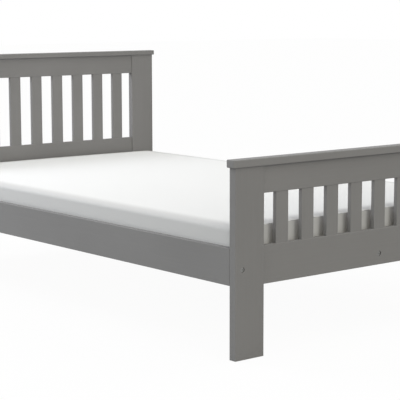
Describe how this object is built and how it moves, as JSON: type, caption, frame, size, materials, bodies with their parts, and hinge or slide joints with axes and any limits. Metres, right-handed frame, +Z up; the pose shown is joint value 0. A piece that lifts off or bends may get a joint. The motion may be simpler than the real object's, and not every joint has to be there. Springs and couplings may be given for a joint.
{
  "type": "wooden bed",
  "caption": "Wooden bed with slatted head and foot boards under flat caps, plain side rails, a slatted base on ledges and a centre beam, and a plain mattress.",
  "frame": {"origin": "on the floor under the middle of the bed, at the centre of the bounding box's bottom", "axes": "+Y along the bed from the foot board to the head board, +Z up, +X across the bed to the right seen from the foot"},
  "size_m": [1.274, 2.078, 0.863],
  "materials": {
    "painted_wood": "satin warm grey paint",
    "bare_pine": "bare planed pine",
    "dowel_wood": "bare beech",
    "mattress_fabric": "plain white knitted cover",
    "zinc_steel": "zinc plated",
    "nylon": "matte"
  },
  "bodies": {
    "frame": {"base_slat_1": "bare_pine", "base_slat_10": "bare_pine", "base_slat_11": "bare_pine", "base_slat_12": "bare_pine", "base_slat_13": "bare_pine", "base_slat_14": "bare_pine", "base_slat_2": "bare_pine", "base_slat_3": "bare_pine", "base_slat_4": "bare_pine", "base_slat_5": "bare_pine", "base_slat_6": "bare_pine", "base_slat_7": "bare_pine", "base_slat_8": "bare_pine", "base_slat_9": "bare_pine", "base_slat_screws": "zinc_steel", "cap_dowels": "dowel_wood", "centre_beam": "bare_pine", "centre_beam_barrel_nuts": "zinc_steel", "centre_beam_bolts": "zinc_steel", "floor_glides": "nylon", "foot_cap": "painted_wood", "foot_lower_rail": "painted_wood", "foot_post_left": "painted_wood", "foot_post_right": "painted_wood", "foot_slat_1": "painted_wood", "foot_slat_2": "painted_wood", "foot_slat_3": "painted_wood", "foot_slat_4": "painted_wood", "foot_slat_5": "painted_wood", "foot_slat_6": "painted_wood", "foot_slat_7": "painted_wood", "foot_slat_8": "painted_wood", "foot_slat_9": "painted_wood", "foot_upper_rail": "painted_wood", "head_bottom_rail": "painted_wood", "head_cap": "painted_wood", "head_middle_rail": "painted_wood", "head_post_left": "painted_wood", "head_post_right": "painted_wood", "head_slat_1": "painted_wood", "head_slat_2": "painted_wood", "head_slat_3": "painted_wood", "head_slat_4": "painted_wood", "head_slat_5": "painted_wood", "head_slat_6": "painted_wood", "head_slat_7": "painted_wood", "head_slat_8": "painted_wood", "head_slat_9": "painted_wood", "head_upper_rail": "painted_wood", "ledge_screws": "zinc_steel", "locating_dowels": "dowel_wood", "side_rail_barrel_nuts": "zinc_steel", "side_rail_bolts": "zinc_steel", "side_rail_left": "painted_wood", "side_rail_right": "painted_wood", "slat_ledge_left": "bare_pine", "slat_ledge_right": "bare_pine"},
    "mattress": {"mattress": "mattress_fabric"}
  },
  "joints": [
    {"name": "mattress_lift", "type": "slide", "parent": "frame", "child": "mattress", "axis": [0, 0, 1], "range_m": [0, 0.32]}
  ]
}
